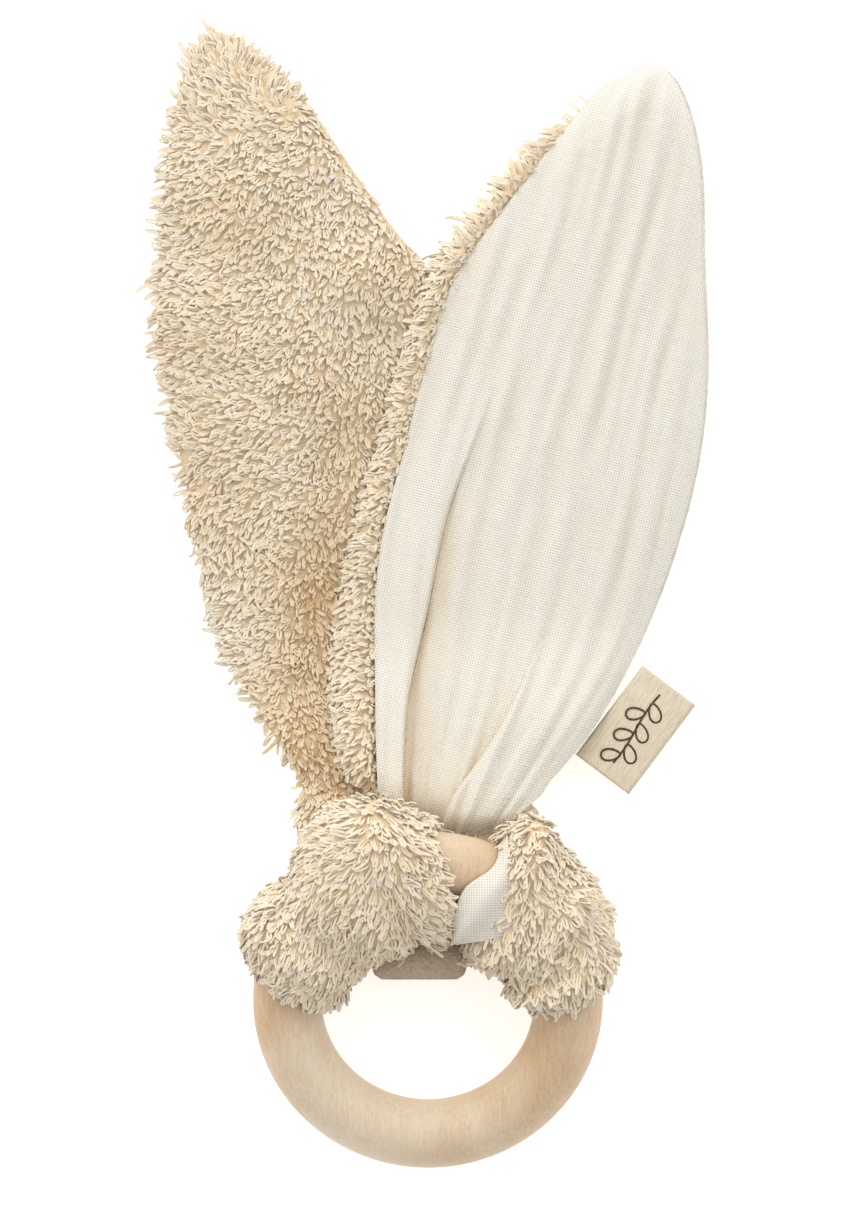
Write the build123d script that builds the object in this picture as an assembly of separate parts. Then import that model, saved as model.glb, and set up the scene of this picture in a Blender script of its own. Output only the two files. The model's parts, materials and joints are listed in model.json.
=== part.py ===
"""Rabbit-ear teething ring: a turned wooden ring with a two-layer cloth tied round it.

The cloth is one long strip, terry on one face and muslin on the other. It is tied to the ring with
a lark's head hitch, and its two free ends are the ears. The ring leans on the knot.
Millimetres. +Z is up, +Y points along the ears, and the origin is on the surface that the object
lies on, in the middle of its outline.
"""
from build123d import *
import os
from math import cos, radians, sin

# Wooden ring
RING_OUTER_D = 70.0
TUBE_D = 13.8
RING_TILT = 14.6  # degrees: the knot lifts the ear side of the ring
OBJECT_LENGTH = 230.8

# Cloth
TERRY_T = 4.2  # base cloth and loops
MUSLIN_T = 1.0  # two layers of gauze
SEAM_T = 0.8  # turned-in seam allowance, between the two cloths
SEAM_INSET = 0.6
SEAM_W = 2.4
OUTLINE_STEPS = 40  # points that a drawn-in outline is made from
HINGE_GAP = 0.4  # between two bodies at a fold of the cloth
CUTTER_W = 140.0  # wider than both ears together
CUTTER_H = 80.0  # taller than the object

# Sleeves of cloth round the ring: the two lobes of the knot
RING_PLAY = 0.3
LEFT_LOBE = (84.0, 172.0)  # degrees along the ring, from +X
RIGHT_LOBE = (6.0, 68.0)
LOBE_ROUND = 3.0
LINING_SET_BACK = 2.0  # degrees that the muslin ends inside the terry

# Ears
NECK_Y = -37.0  # where the ears leave the knot
CURL_Y = 33.0  # where the ears' ends fold
TIP_Y = 125.0  # past the ears' ends
NECK_RISE = 4.8  # height of the cloth's underside where it leaves the knot
RAMP = 34.0  # length over which an ear comes down to the surface
EAR_T = TERRY_T + SEAM_T + MUSLIN_T

# Outlines of the ears, clockwise from the neck
LEFT_EAR = [
    (-26.5, -38.0), (-35.5, -24.5), (-43.5, -9.0), (-50.0, 19.0), (-54.2, 40.0), (-56.35, 58.0),
    (-55.2, 78.0), (-51.8, 102.0), (-43.5, 115.35), (-33.0, 109.0), (-19.0, 91.0), (-4.5, 69.5),
    (-1.6, 63.0), (-4.0, 55.0), (-9.0, 38.0), (-16.8, 6.0), (-19.2, -18.0), (-17.2, -38.0),
]
RIGHT_EAR = [
    (-15.4, -38.0), (-17.9, -16.0), (-15.0, 6.0), (-6.4, 38.0), (-2.0, 54.0), (0.4, 62.0),
    (5.0, 71.5), (14.5, 84.0), (34.0, 101.0), (46.0, 105.5), (53.8, 93.0), (55.6, 70.0),
    (56.35, 48.0), (54.2, 25.0), (50.0, 9.0), (44.0, -7.0), (38.0, -19.0), (25.0, -38.0),
]

# Strands behind the ring and the bar across the back of the knot
LEFT_STRAND = [(-26.3, -36), (-17.0, -36), (-3, -48), (-4, -54), (-26, -54), (-28.5, -46)]
RIGHT_STRAND = [(-15.4, -36), (26, -36), (22.5, -42), (21, -54), (0, -54), (-1.6, -48)]
BACK_BAR_X = (-19.0, 15.0)
BACK_BAR_Y = (-53.0, -42.0)
BACK_BAR_LINING = 1.2
BACK_BAR_ROUND = 4.0

# Folded label in the right ear's seam
LABEL_START = (43.2, -14.4)
LABEL_TURN = -36.9  # degrees: the way it points, square to the seam
LABEL_W = 22.4
LABEL_OUT = 13.2
TAPE_T = 0.4
TAPE_FOLD = 0.3  # space between the two leaves
LABEL_Z = 5.0

ring_r = (RING_OUTER_D - TUBE_D) / 2
tube_r = TUBE_D / 2
lining_r = tube_r + RING_PLAY
terry_inner_r = lining_r + MUSLIN_T
terry_outer_r = terry_inner_r + TERRY_T
ring_centre = (
    0.0,
    -OBJECT_LENGTH / 2 + ring_r * cos(radians(RING_TILT)) + tube_r,
    tube_r + ring_r * sin(radians(RING_TILT)),
)
ring_place = Pos(*ring_centre) * Rot(RING_TILT, 0, 0)


def sleeve(inner_r, outer_r, arc, rounding=0.0):
    """Stretch of pipe that follows the ring over an arc, its outer end edges rounded."""
    start, end = arc
    section = Plane.XZ * (Pos(ring_r, 0) * (Circle(outer_r) - Circle(inner_r)))
    pipe = Rot(0, 0, start) * revolve(section, Axis.Z, revolution_arc=end - start)
    if rounding:
        ends = pipe.edges().filter_by(GeomType.CIRCLE)
        rims = [edge for edge in ends if abs(edge.radius - outer_r) < 0.01]
        pipe = fillet(rims, rounding)
    return ring_place * pipe


def side_line(height):
    """Side view of the cloth: level at the neck, down the ramp and level along the surface."""
    ramp = Bezier(
        (NECK_Y, NECK_RISE + height),
        (NECK_Y + RAMP * 0.4, NECK_RISE + height),
        (NECK_Y + RAMP * 0.6, height),
        (NECK_Y + RAMP, height),
    )
    return ramp, Line((NECK_Y + RAMP, height), (TIP_Y, height))


def slab(low, high):
    """Layer of cloth between two heights above the ear's underside, wider than any ear."""
    low_ramp, low_run = side_line(low)
    high_ramp, high_run = side_line(high)
    ends = Line(low_ramp @ 0, high_ramp @ 0), Line(low_run @ 1, high_run @ 1)
    side = make_face(Wire([low_ramp, low_run, ends[1], high_run, high_ramp, ends[0]]))
    return extrude(Plane.YZ * side, CUTTER_W / 2, both=True)


def stretch(start_y, end_y):
    """Block that keeps what lies between two folds, and leaves them their gap."""
    length = end_y - start_y - HINGE_GAP
    return Pos(0, (start_y + end_y) / 2, 0) * Box(CUTTER_W, length, CUTTER_H)


def outline(points, inset=0.0):
    """Flat outline of an ear: a smooth curve clockwise through the points, closed across the neck.

    An inset draws the curve in by that much, and it stays square across the neck.
    """
    side = Spline(*points)
    if inset:
        steps = [i / OUTLINE_STEPS for i in range(OUTLINE_STEPS + 1)]
        side = Spline(*[side @ u + (side % u).rotate(Axis.Z, -90) * inset for u in steps])
    return make_face(Wire([side, Line(side @ 1, side @ 0)]))


def prism(face):
    """Upright prism on an outline."""
    return extrude(face, CUTTER_H, dir=(0, 0, 1))


def export(name, shape):
    """Write one node."""
    export_step(shape, f"parts/{name}.step")


def export_ear(side, points, terry_up):
    """Write the six nodes of an ear: terry, muslin and seam allowance of its base and its end."""
    lower_t = MUSLIN_T if terry_up else TERRY_T
    layers = {
        "muslin" if terry_up else "terry": (0, lower_t),
        "seam": (lower_t, lower_t + SEAM_T),
        "terry" if terry_up else "muslin": (lower_t + SEAM_T, EAR_T),
    }
    for part, start_y, end_y in (("ear", NECK_Y, CURL_Y), ("ear_tip", CURL_Y, TIP_Y)):
        for cloth, (low, high) in layers.items():
            sheet = slab(low, high) & stretch(start_y, end_y)
            if cloth == "seam":
                sheet = sheet & prism(outline(points, SEAM_INSET))
                sheet = sheet - prism(outline(points, SEAM_INSET + SEAM_W))
            else:
                sheet = sheet & prism(outline(points))
            export(f"{side}_{part}_{cloth}", sheet)


def strand(points, low, high):
    """Layer of the cloth behind the ring, from the neck's fold to the sleeve round the ring."""
    footprint = Pos(0, 0, low) * make_face(Polyline(*points, close=True))
    block = extrude(footprint, high - low, dir=(0, 0, 1)) & stretch(-OBJECT_LENGTH, NECK_Y)
    return block - ring_place * Torus(ring_r, terry_outer_r)


def back_bar(low, high):
    """Pad across the back of the knot, between two heights."""
    length = BACK_BAR_X[1] - BACK_BAR_X[0]
    width = BACK_BAR_Y[1] - BACK_BAR_Y[0]
    middle = Pos(sum(BACK_BAR_X) / 2, sum(BACK_BAR_Y) / 2, low)
    return middle * extrude(RectangleRounded(length, width, BACK_BAR_ROUND), high - low)


def label():
    """Tape folded double, the fold on the outside, its cut ends in the seam."""
    thick = 2 * TAPE_T + TAPE_FOLD
    flat = LABEL_OUT - thick / 2
    outside = Pos(flat, 0) * Circle(thick / 2) + Pos(flat / 2, 0) * Rectangle(flat, thick)
    inside = Pos(flat, 0) * Circle(TAPE_FOLD / 2) + Pos(flat / 2, 0) * Rectangle(flat, TAPE_FOLD)
    tape = extrude(Plane.XZ * (outside - inside), LABEL_W)
    return Pos(*LABEL_START, LABEL_Z + thick / 2) * Rot(0, 0, LABEL_TURN) * tape


os.makedirs("parts", exist_ok=True)

export("wooden_ring", ring_place * Torus(ring_r, tube_r))

for side, arc in (("left", LEFT_LOBE), ("right", RIGHT_LOBE)):
    inner_arc = (arc[0] + LINING_SET_BACK, arc[1] - LINING_SET_BACK)
    export(f"{side}_lobe_muslin", sleeve(lining_r, terry_inner_r, inner_arc))
    export(f"{side}_lobe_terry", sleeve(terry_inner_r, terry_outer_r, arc, LOBE_ROUND))

top = NECK_RISE + EAR_T
for side, points in (("left", LEFT_STRAND), ("right", RIGHT_STRAND)):
    export(f"{side}_neck_terry", strand(points, NECK_RISE, top - MUSLIN_T))
    export(f"{side}_neck_muslin", strand(points, top - MUSLIN_T, top))

bar_top = NECK_RISE - BACK_BAR_LINING
export("back_bar_terry", back_bar(0, bar_top))
export("back_bar_muslin", back_bar(bar_top, NECK_RISE))

export_ear("left", LEFT_EAR, terry_up=True)
export_ear("right", RIGHT_EAR, terry_up=False)
export("label_tape", label())
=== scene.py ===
"""Looks of the rabbit-ear teething ring: terry loops, crinkled muslin, maple and a folded label.

The frame holds the object's sizes, places and joints. Lengths here are millimetres until a mesh is
made, and +Y points along the ears.
"""
import json
import math

import bpy
import numpy as np
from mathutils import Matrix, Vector


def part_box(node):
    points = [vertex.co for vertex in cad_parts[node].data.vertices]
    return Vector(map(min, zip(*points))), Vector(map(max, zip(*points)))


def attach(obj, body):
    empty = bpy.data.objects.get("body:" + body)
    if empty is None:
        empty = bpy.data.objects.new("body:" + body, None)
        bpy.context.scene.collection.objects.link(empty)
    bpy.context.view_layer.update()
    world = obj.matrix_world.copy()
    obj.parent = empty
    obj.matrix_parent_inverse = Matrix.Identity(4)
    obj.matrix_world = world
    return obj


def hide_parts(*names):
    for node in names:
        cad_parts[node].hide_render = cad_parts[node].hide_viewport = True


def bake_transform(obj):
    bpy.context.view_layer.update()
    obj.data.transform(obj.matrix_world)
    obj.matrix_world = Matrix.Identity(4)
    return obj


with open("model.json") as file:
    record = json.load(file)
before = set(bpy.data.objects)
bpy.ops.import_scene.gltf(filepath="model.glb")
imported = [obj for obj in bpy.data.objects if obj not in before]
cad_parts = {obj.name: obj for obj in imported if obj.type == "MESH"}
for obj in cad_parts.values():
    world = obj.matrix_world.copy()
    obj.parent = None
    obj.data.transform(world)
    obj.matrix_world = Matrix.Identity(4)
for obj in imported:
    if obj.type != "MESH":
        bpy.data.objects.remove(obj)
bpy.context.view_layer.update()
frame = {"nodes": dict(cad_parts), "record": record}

MM = 0.001
rng = np.random.default_rng(759)

# ---------------- places read from the frame

joints = {joint["name"]: joint for joint in frame["record"]["behaviour"]["joints"]}
NECK_Y = joints["left_ear_lift"]["pos_m"][1] / MM
RING_AXIS = np.array(joints["ring_spin"]["axis"])
RING_CENTRE = np.array(joints["ring_spin"]["pos_m"]) / MM

ring_low, ring_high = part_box("wooden_ring")
RING_OUTER = (ring_high.x - ring_low.x) / 2 / MM
ring_half_height = (ring_high.z - ring_low.z) / 2 / MM
RING_R = (RING_OUTER - ring_half_height) / (1 + RING_AXIS[1])
TUBE_R = RING_OUTER - RING_R
RING_ALONG = np.array([0.0, RING_AXIS[2], -RING_AXIS[1]])

neck_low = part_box("left_neck_terry")[0]
NECK_RISE = neck_low.z / MM
NECK_END_Y = neck_low.y / MM
RAMP_END_Y = NECK_Y + 34.0  # where an ear has come down to the surface
SPLIT_Y = 3.0  # between an ear's two pieces, where no joint bends the cloth
FORK_Y = 64.0  # where the ears part
UP = np.array([0.0, 0.0, 1.0])

# ---------------- small helpers


def smooth(t):
    """0 up to 0, 1 from 1 on, and an S between them."""
    t = np.clip(t, 0.0, 1.0)
    return t * t * (3 - 2 * t)


def quarter(t):
    """Height of a quarter circle: 0 at 0, upright there, and level at 1."""
    t = np.clip(t, 0.0, 1.0)
    return np.sqrt(np.maximum(0.0, 1 - (1 - t) ** 2))


def unit(vectors):
    return vectors / np.maximum(np.linalg.norm(vectors, axis=-1, keepdims=True), 1e-9)


def spots(x, y, z=0.0):
    """Points or directions from their x, y and z, each an array or one number for all."""
    return np.stack(np.broadcast_arrays(x, y, z), -1)


def bell(t):
    """1 at 0, falling off to both sides."""
    return np.exp(-(t**2))


def through(knots, values, at):
    """Smooth curve through a few values, as a cubic with slopes taken from the neighbours."""
    knots = np.asarray(knots, float)
    values = np.asarray(values, float)
    slopes = np.gradient(values, knots)
    at = np.clip(at, knots[0], knots[-1])
    i = np.clip(np.searchsorted(knots, at) - 1, 0, len(knots) - 2)
    step = knots[i + 1] - knots[i]
    t = (at - knots[i]) / step
    rise = values[i + 1] - values[i]
    bend = (slopes[i] * step - rise) * (1 - t) - (slopes[i + 1] * step - rise) * t
    return values[i] + t * rise + t * (1 - t) * bend


def ripple(x, y, wavelength, seed):
    """Smooth random waves between about -1 and 1, from eight plane waves."""
    waves = np.random.default_rng(seed)
    total = np.zeros(np.broadcast(x, y).shape)
    for _ in range(8):
        angle = waves.uniform(0, 2 * math.pi)
        pitch = wavelength * waves.uniform(0.7, 1.5)
        phase = waves.uniform(0, 2 * math.pi)
        along = x * math.cos(angle) + y * math.sin(angle)
        total = total + np.sin(2 * math.pi * along / pitch + phase)
    return total / 4


def ramp_height(y):
    """Height of the ears' underside, which comes down from the knot to the surface."""
    return NECK_RISE * smooth((RAMP_END_Y - y) / (RAMP_END_Y - NECK_Y))


# ---------------- meshes


def quads(index):
    """Faces of a grid of vertex numbers."""
    corners = [index[:-1, :-1], index[:-1, 1:], index[1:, 1:], index[1:, :-1]]
    return np.stack(corners, -1).reshape(-1, 4)


def make_piece(name, points, faces, material, normals=None, uv=None, values=None):
    """Mesh object from points in millimetres and faces of four corners, smooth shaded."""
    mesh = bpy.data.meshes.new(name)
    mesh.vertices.add(len(points))
    mesh.vertices.foreach_set("co", (points * MM).astype(np.float32).ravel())
    mesh.loops.add(faces.size)
    mesh.loops.foreach_set("vertex_index", faces.astype(np.int32).ravel())
    mesh.polygons.add(len(faces))
    mesh.polygons.foreach_set("loop_start", np.arange(0, faces.size, 4, dtype=np.int32))
    mesh.update(calc_edges=True)
    mesh.polygons.foreach_set("use_smooth", np.ones(len(faces), bool))
    mesh.materials.append(material)
    if uv is not None:
        layer = mesh.uv_layers.new(name="cloth")
        layer.data.foreach_set("uv", uv[faces.ravel()].astype(np.float32).ravel())
    for key, value in (values or {}).items():
        attribute = mesh.attributes.new(key, "FLOAT", "POINT")
        attribute.data.foreach_set("value", value.astype(np.float32))
    if normals is not None:
        mesh.normals_split_custom_set_from_vertices(normals.astype(np.float32))
    piece = bpy.data.objects.new(name, mesh)
    bpy.context.scene.collection.objects.link(piece)
    return piece


def rigid(piece, body):
    """The piece moves with one body."""
    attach(piece, body)


def grid_normals(grid, wrap=False):
    """Unit normals of a grid of points. wrap joins its last column to its first."""
    along = np.gradient(grid, axis=0)
    if wrap:
        across = np.roll(grid, -1, axis=1) - np.roll(grid, 1, axis=1)
    else:
        across = np.gradient(grid, axis=1)
    return unit(np.cross(across, along))


def wrapped(grid):
    """The grid with its first column once more after its last."""
    return np.concatenate([grid, grid[:, :1]], axis=1)


def shell(top, bottom, wrap=False):
    """Closed shell between two grids: its points and its faces. wrap makes it a sleeve."""
    rows, columns = top.shape[:2]
    size = rows * columns
    points = np.concatenate([top.reshape(-1, 3), bottom.reshape(-1, 3)])
    index = np.arange(size).reshape(rows, columns)
    if wrap:
        index = wrapped(index)
        rim = np.concatenate([index[0, :-1], index[-1, 1:]])
        following = np.concatenate([index[0, 1:], index[-1, :-1]])
    else:
        rim = np.concatenate([index[0], index[1:, -1], index[-1, -2::-1], index[-2:0:-1, 0]])
        following = np.roll(rim, -1)
    walls = np.stack([rim, rim + size, following + size, following], 1)
    return points, np.concatenate([quads(index), quads(index + size)[:, ::-1], walls])


# ---------------- terry loops

LOOP_POINTS = 9  # along a loop's yarn
LOOP_SIDES = 4  # round it
UPPER_SOFTNESS = 2.2  # weight of the cloth's own direction in the shading of a loop's upper side
UNDER_SOFTNESS = 0.85  # and of the side that faces the cloth
STRAY_SHARE = 0.07  # loops that are pulled out longer than the rest
STRAY_LENGTH = 1.4

# Length and width of a loop and its yarn's thickness, its lean from upright in degrees at the root
# and at the tip, and how far its root is sunk into the cloth
LEFT_LOOPS = {"length": 2.1, "width": 0.88, "yarn": 0.48, "lean": (34, 84)}
EDGE_LOOPS = {"length": 2.3, "width": 0.88, "yarn": 0.48, "lean": (32, 84)}
BACK_LOOPS = {"length": 2.6, "width": 1.2, "yarn": 0.55, "lean": (66, 88)}
LOBE_LOOPS = {"length": 3.1, "width": 1.05, "yarn": 0.48, "lean": (38, 84), "sunk": 0.7}
BAR_LOOPS = {"length": 2.6, "width": 1.2, "yarn": 0.55, "lean": (64, 86)}

# Loops to the square millimetre
EAR_DENSITY = 0.95
LOBE_DENSITY = 0.88
BACK_DENSITY = 0.55
BAR_DENSITY = 0.5


class Pile:
    """Where loops stand, which way they lie, how much painted shade and random tone darken and warm
    their colour, and how drawn out they are.
    """

    def __init__(self, roots, normals, flow, shade_and_tone=0.0, stretch=1.0):
        self.roots = roots
        self.normals = normals
        self.flow = flow
        self.shade_and_tone = np.broadcast_to(shade_and_tone, len(roots))
        self.stretch = np.broadcast_to(stretch, len(roots))

    def only(self, keep):
        values = (self.roots, self.normals, self.flow, self.shade_and_tone, self.stretch)
        return Pile(*(value[keep] for value in values))


def scatter(grid, normals, density, wrap=False):
    """Roots spread evenly over a grid, so many to the square millimetre, and their normals."""
    if wrap:
        grid, normals = wrapped(grid), wrapped(normals)
    a = grid[1:, :-1] - grid[:-1, :-1]
    b = grid[:-1, 1:] - grid[:-1, :-1]
    wanted = np.linalg.norm(np.cross(a, b), axis=-1) * density
    running = np.cumsum(wanted, axis=1) + rng.uniform(0, 1, (len(wanted), 1))
    before = np.floor(running[:, :1] - wanted[:, :1])
    counts = np.diff(np.floor(running), axis=1, prepend=before)
    rows, columns = np.nonzero(counts > 0)
    repeats = counts[rows, columns].astype(int)
    rows = np.repeat(rows, repeats)
    columns = np.repeat(columns, repeats)
    s = rng.uniform(0, 1, (len(rows), 1))
    t = rng.uniform(0, 1, (len(rows), 1))

    def blend(values):
        low = values[rows, columns] * (1 - t) + values[rows, columns + 1] * t
        high = values[rows + 1, columns] * (1 - t) + values[rows + 1, columns + 1] * t
        return low * (1 - s) + high * s

    return blend(grid), unit(blend(normals))


def lie_along(normals, flow, swirl, turn=0.0):
    """Directions in the cloth near the flow, turned by turn and at random by some swirl degrees."""
    flow = unit(flow - normals * (flow * normals).sum(-1, keepdims=True))
    side = np.cross(normals, flow)
    angle = np.radians(rng.normal(0, swirl, len(flow))) + turn
    return flow * np.cos(angle)[:, None] + side * np.sin(angle)[:, None]


def loops_mesh(name, pile, material, length, width, yarn, lean, sunk=0.25):
    """One mesh of yarn loops, each a bent tube of four sides."""
    count = len(pile.roots)
    each = (count, 1, 1)
    stray = np.where(rng.uniform(0, 1, each) < STRAY_SHARE, STRAY_LENGTH, 1.0)
    length = length * (rng.uniform(0.75, 1.2, each) * stray * pile.stretch[:, None, None])
    width = width * rng.uniform(0.7, 1.25, each)
    start = np.radians(lean[0] + rng.normal(0, 9, each))
    finish = np.radians(lean[1] + rng.normal(0, 12, each))
    finish = np.where(abs(finish - start) < 0.05, start + 0.05, finish)
    normal = pile.normals[:, None, :]
    flow = pile.flow[:, None, :]
    side = np.cross(normal, flow)

    # the loop's middle line leans over on an arc, and its two legs stand apart across it
    t = np.linspace(0, 1, LOOP_POINTS)[None, :, None]
    up = np.sin(math.pi * t) ** 0.8
    apart = 0.5 * np.cos(math.pi * t) * (0.4 + 0.75 * np.sin(math.pi * t))
    angle = start + (finish - start) * up
    reach = length / (finish - start)
    centre = reach * (np.sin(angle) - np.sin(start)) * normal
    centre = centre + reach * (np.cos(start) - np.cos(angle)) * flow
    growth = np.cos(angle) * normal + np.sin(angle) * flow
    across = np.cross(growth, side)
    twist = np.radians(rng.normal(0, 45, each)) * (0.3 + 0.7 * up)
    breadth = side * np.cos(twist) + across * np.sin(twist)
    sway = rng.normal(0, 0.22, each) * length * up**2
    centre = centre + side * sway
    path = pile.roots[:, None, :] - normal * sunk + centre + breadth * width * apart
    path[..., 2] = np.maximum(path[..., 2], 0.6 * yarn)  # under the object they lie on the surface

    tangent = unit(np.gradient(path, axis=1))
    around = unit(np.cross(tangent, unit(np.cross(breadth, growth))))
    flat = np.cross(around, tangent)
    turn = 2 * math.pi * np.arange(LOOP_SIDES) / LOOP_SIDES
    radius = yarn / 2 * rng.uniform(0.85, 1.15, (*each, 1))
    ring = np.cos(turn)[:, None] * flat[:, :, None, :]
    ring = ring + np.sin(turn)[:, None] * around[:, :, None, :]
    points = (path[:, :, None, :] + ring * radius).reshape(-1, 3)

    index = np.arange(LOOP_POINTS * LOOP_SIDES).reshape(LOOP_POINTS, LOOP_SIDES)
    one = quads(wrapped(index))
    faces = (one + np.arange(count)[:, None, None] * LOOP_POINTS * LOOP_SIDES).reshape(-1, 4)

    def spread(values):
        """A number for every point of the mesh."""
        return np.broadcast_to(values, ring.shape[:3]).reshape(-1)

    # random tone, lowered where the pile has painted shade
    tone = rng.uniform(0, 1, count) - pile.shade_and_tone
    values = {"tone": spread(tone[:, None, None]), "tip": spread(up)}
    uv = np.stack([spread(t * length * 2), spread(np.arange(LOOP_SIDES) / LOOP_SIDES)], 1)
    own = ring.reshape(-1, 3)
    cloth = np.broadcast_to(normal[:, :, None, :], ring.shape).reshape(-1, 3)
    upper = smooth(((own * cloth).sum(-1, keepdims=True) + 0.6) / 0.6)
    soft = unit(own + cloth * (UNDER_SOFTNESS + (UPPER_SOFTNESS - UNDER_SOFTNESS) * upper))
    return make_piece(name, points, faces, material, normals=soft, uv=uv, values=values)


# ---------------- materials


def tint(red, green, blue):
    """Linear colour from the 0 to 255 values that a screen shows."""
    share = np.array([red, green, blue]) / 255
    linear = np.where(share <= 0.04045, share / 12.92, ((share + 0.055) / 1.055) ** 2.4)
    return (*[float(x) for x in linear], 1.0)


def add_node(tree, kind, inputs=None, **settings):
    """A shader node, its inputs set to values or linked to other nodes' outputs."""
    made = tree.nodes.new("ShaderNode" + kind)
    for key, value in settings.items():
        setattr(made, key, value)
    for socket, value in (inputs or {}).items():
        if isinstance(value, bpy.types.NodeSocket):
            tree.links.new(value, made.inputs[socket])
        else:
            made.inputs[socket].default_value = value
    return made


class Finish:
    """A material being built: its Principled shader and short calls to add nodes."""

    def __init__(self, name, constants):
        self.material = bpy.data.materials.new(name)
        self.material.use_nodes = True
        self.tree = self.material.node_tree
        self.shader = self.tree.nodes["Principled BSDF"]
        for socket, value in constants.items():
            self.shader.inputs[socket].default_value = value

    def node(self, kind, inputs=None, **settings):
        return add_node(self.tree, kind, inputs, **settings)

    def set(self, socket, output):
        self.tree.links.new(output, self.shader.inputs[socket])

    def object_space(self):
        return self.node("TexCoord").outputs["Object"]

    def cloth_space(self):
        return self.node("UVMap", uv_map="cloth").outputs[0]

    def axes(self, vector):
        """The x, y and z of a vector."""
        return self.node("SeparateXYZ", {"Vector": vector}).outputs

    def attribute(self, name):
        return self.node("Attribute", attribute_name=name).outputs["Fac"]

    def math(self, operation, a, b=0.0):
        return self.node("Math", {0: a, 1: b}, operation=operation).outputs[0]

    def add(self, a, b):
        return self.math("ADD", a, b)

    def times(self, a, b):
        return self.math("MULTIPLY", a, b)

    def wave(self, along, pitch):
        """Sine of a coordinate that repeats every pitch."""
        return self.math("SINE", self.times(along, 2 * math.pi / pitch))

    def noise(self, vector, scale, detail=3.0, roughness=0.5):
        inputs = {"Vector": vector, "Scale": scale, "Detail": detail, "Roughness": roughness}
        return self.node("TexNoise", inputs).outputs["Fac"]

    def stretched(self, vector, scale):
        """The coordinates scaled by a different amount along each axis."""
        return self.node("Mapping", {"Vector": vector, "Scale": scale}).outputs[0]

    def ramp(self, factor, *stops):
        """Colours from a factor, by stops of a place and a colour."""
        made = self.node("ValToRGB", {"Fac": factor})
        elements = made.color_ramp.elements
        while len(elements) < len(stops):
            elements.new(0.5)
        for element, (place, colour) in zip(elements, stops):
            element.position = place
            element.color = colour
        return made.outputs["Color"]

    def mix(self, factor, a, b, blend="MIX"):
        inputs = {"Fac": factor, "Color1": a, "Color2": b}
        return self.node("MixRGB", inputs, blend_type=blend).outputs[0]

    def between(self, factor, low, high):
        """A factor from 0 to 1 turned into a number between low and high."""
        inputs = {"Value": factor, "To Min": low, "To Max": high}
        return self.node("MapRange", inputs).outputs[0]

    def done(self, colour, roughness, relief):
        """The material, from its colour, a factor and range for roughness, and its relief.

        The relief is a height, a distance in metres and a strength.
        """
        self.set("Base Color", colour)
        self.set("Roughness", self.between(*roughness))
        bump = self.node("Bump", dict(zip(("Height", "Distance", "Strength"), relief)))
        self.set("Normal", bump.outputs[0])
        return self.material


COTTON = {"Sheen Weight": 0.2, "Sheen Roughness": 0.5}
WARM_COTTON = {**COTTON, "Sheen Tint": (1.0, 0.86, 0.68, 1.0)}
# painted shade: the colour at the loops' roots, where they shade each other, and in the left ear's
# groove
ROOT_SHADE = tint(222, 191, 148)


def yarn_finish(name, deep, middle, bright):
    """Cotton loop yarn: two plies twisted together, with painted shade that darkens it towards its root.
    """
    made = Finish(name, {"Specular IOR Level": 0.2, **WARM_COTTON})
    place = made.object_space()
    # the tone attribute: random tone, lowered by painted shade in the left ear's groove
    shade = made.times(made.attribute("tone"), 0.4)
    # painted shade: the yarn is lighter towards the top of its loop and darker at its roots
    shade = made.add(shade, made.times(made.attribute("tip"), 0.42))
    shade = made.add(shade, made.times(made.noise(place, 90.0, 2.0), 0.3))
    stops = ((0.0, ROOT_SHADE), (0.14, deep), (0.55, middle), (0.95, bright))
    yarn = made.axes(made.cloth_space())
    turns = made.add(made.times(yarn[0], 1.1), yarn[1])
    ply = made.math("SINE", made.times(turns, 4 * math.pi))
    fuzz = made.noise(place, 5200.0, 2.0)
    height = made.add(made.times(ply, 0.5), fuzz)
    return made.done(made.ramp(shade, *stops), (fuzz, 0.8, 1.0), (height, 0.00005, 0.4))


def ground_finish(name, dark, light):
    """The terry's woven ground, which shows between the loops."""
    made = Finish(name, {"Specular IOR Level": 0.15, **WARM_COTTON})
    place = made.object_space()
    cells = made.node("TexVoronoi", {"Vector": place, "Scale": 1500.0}).outputs["Distance"]
    patches = made.noise(place, 160.0)
    shade = made.add(made.times(cells, 0.6), made.times(patches, 0.4))
    colour = made.ramp(shade, (0.15, light), (0.75, dark))
    height = made.math("SUBTRACT", 1.0, cells)
    return made.done(colour, (patches, 0.85, 1.0), (height, 0.0003, 0.6))


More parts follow.
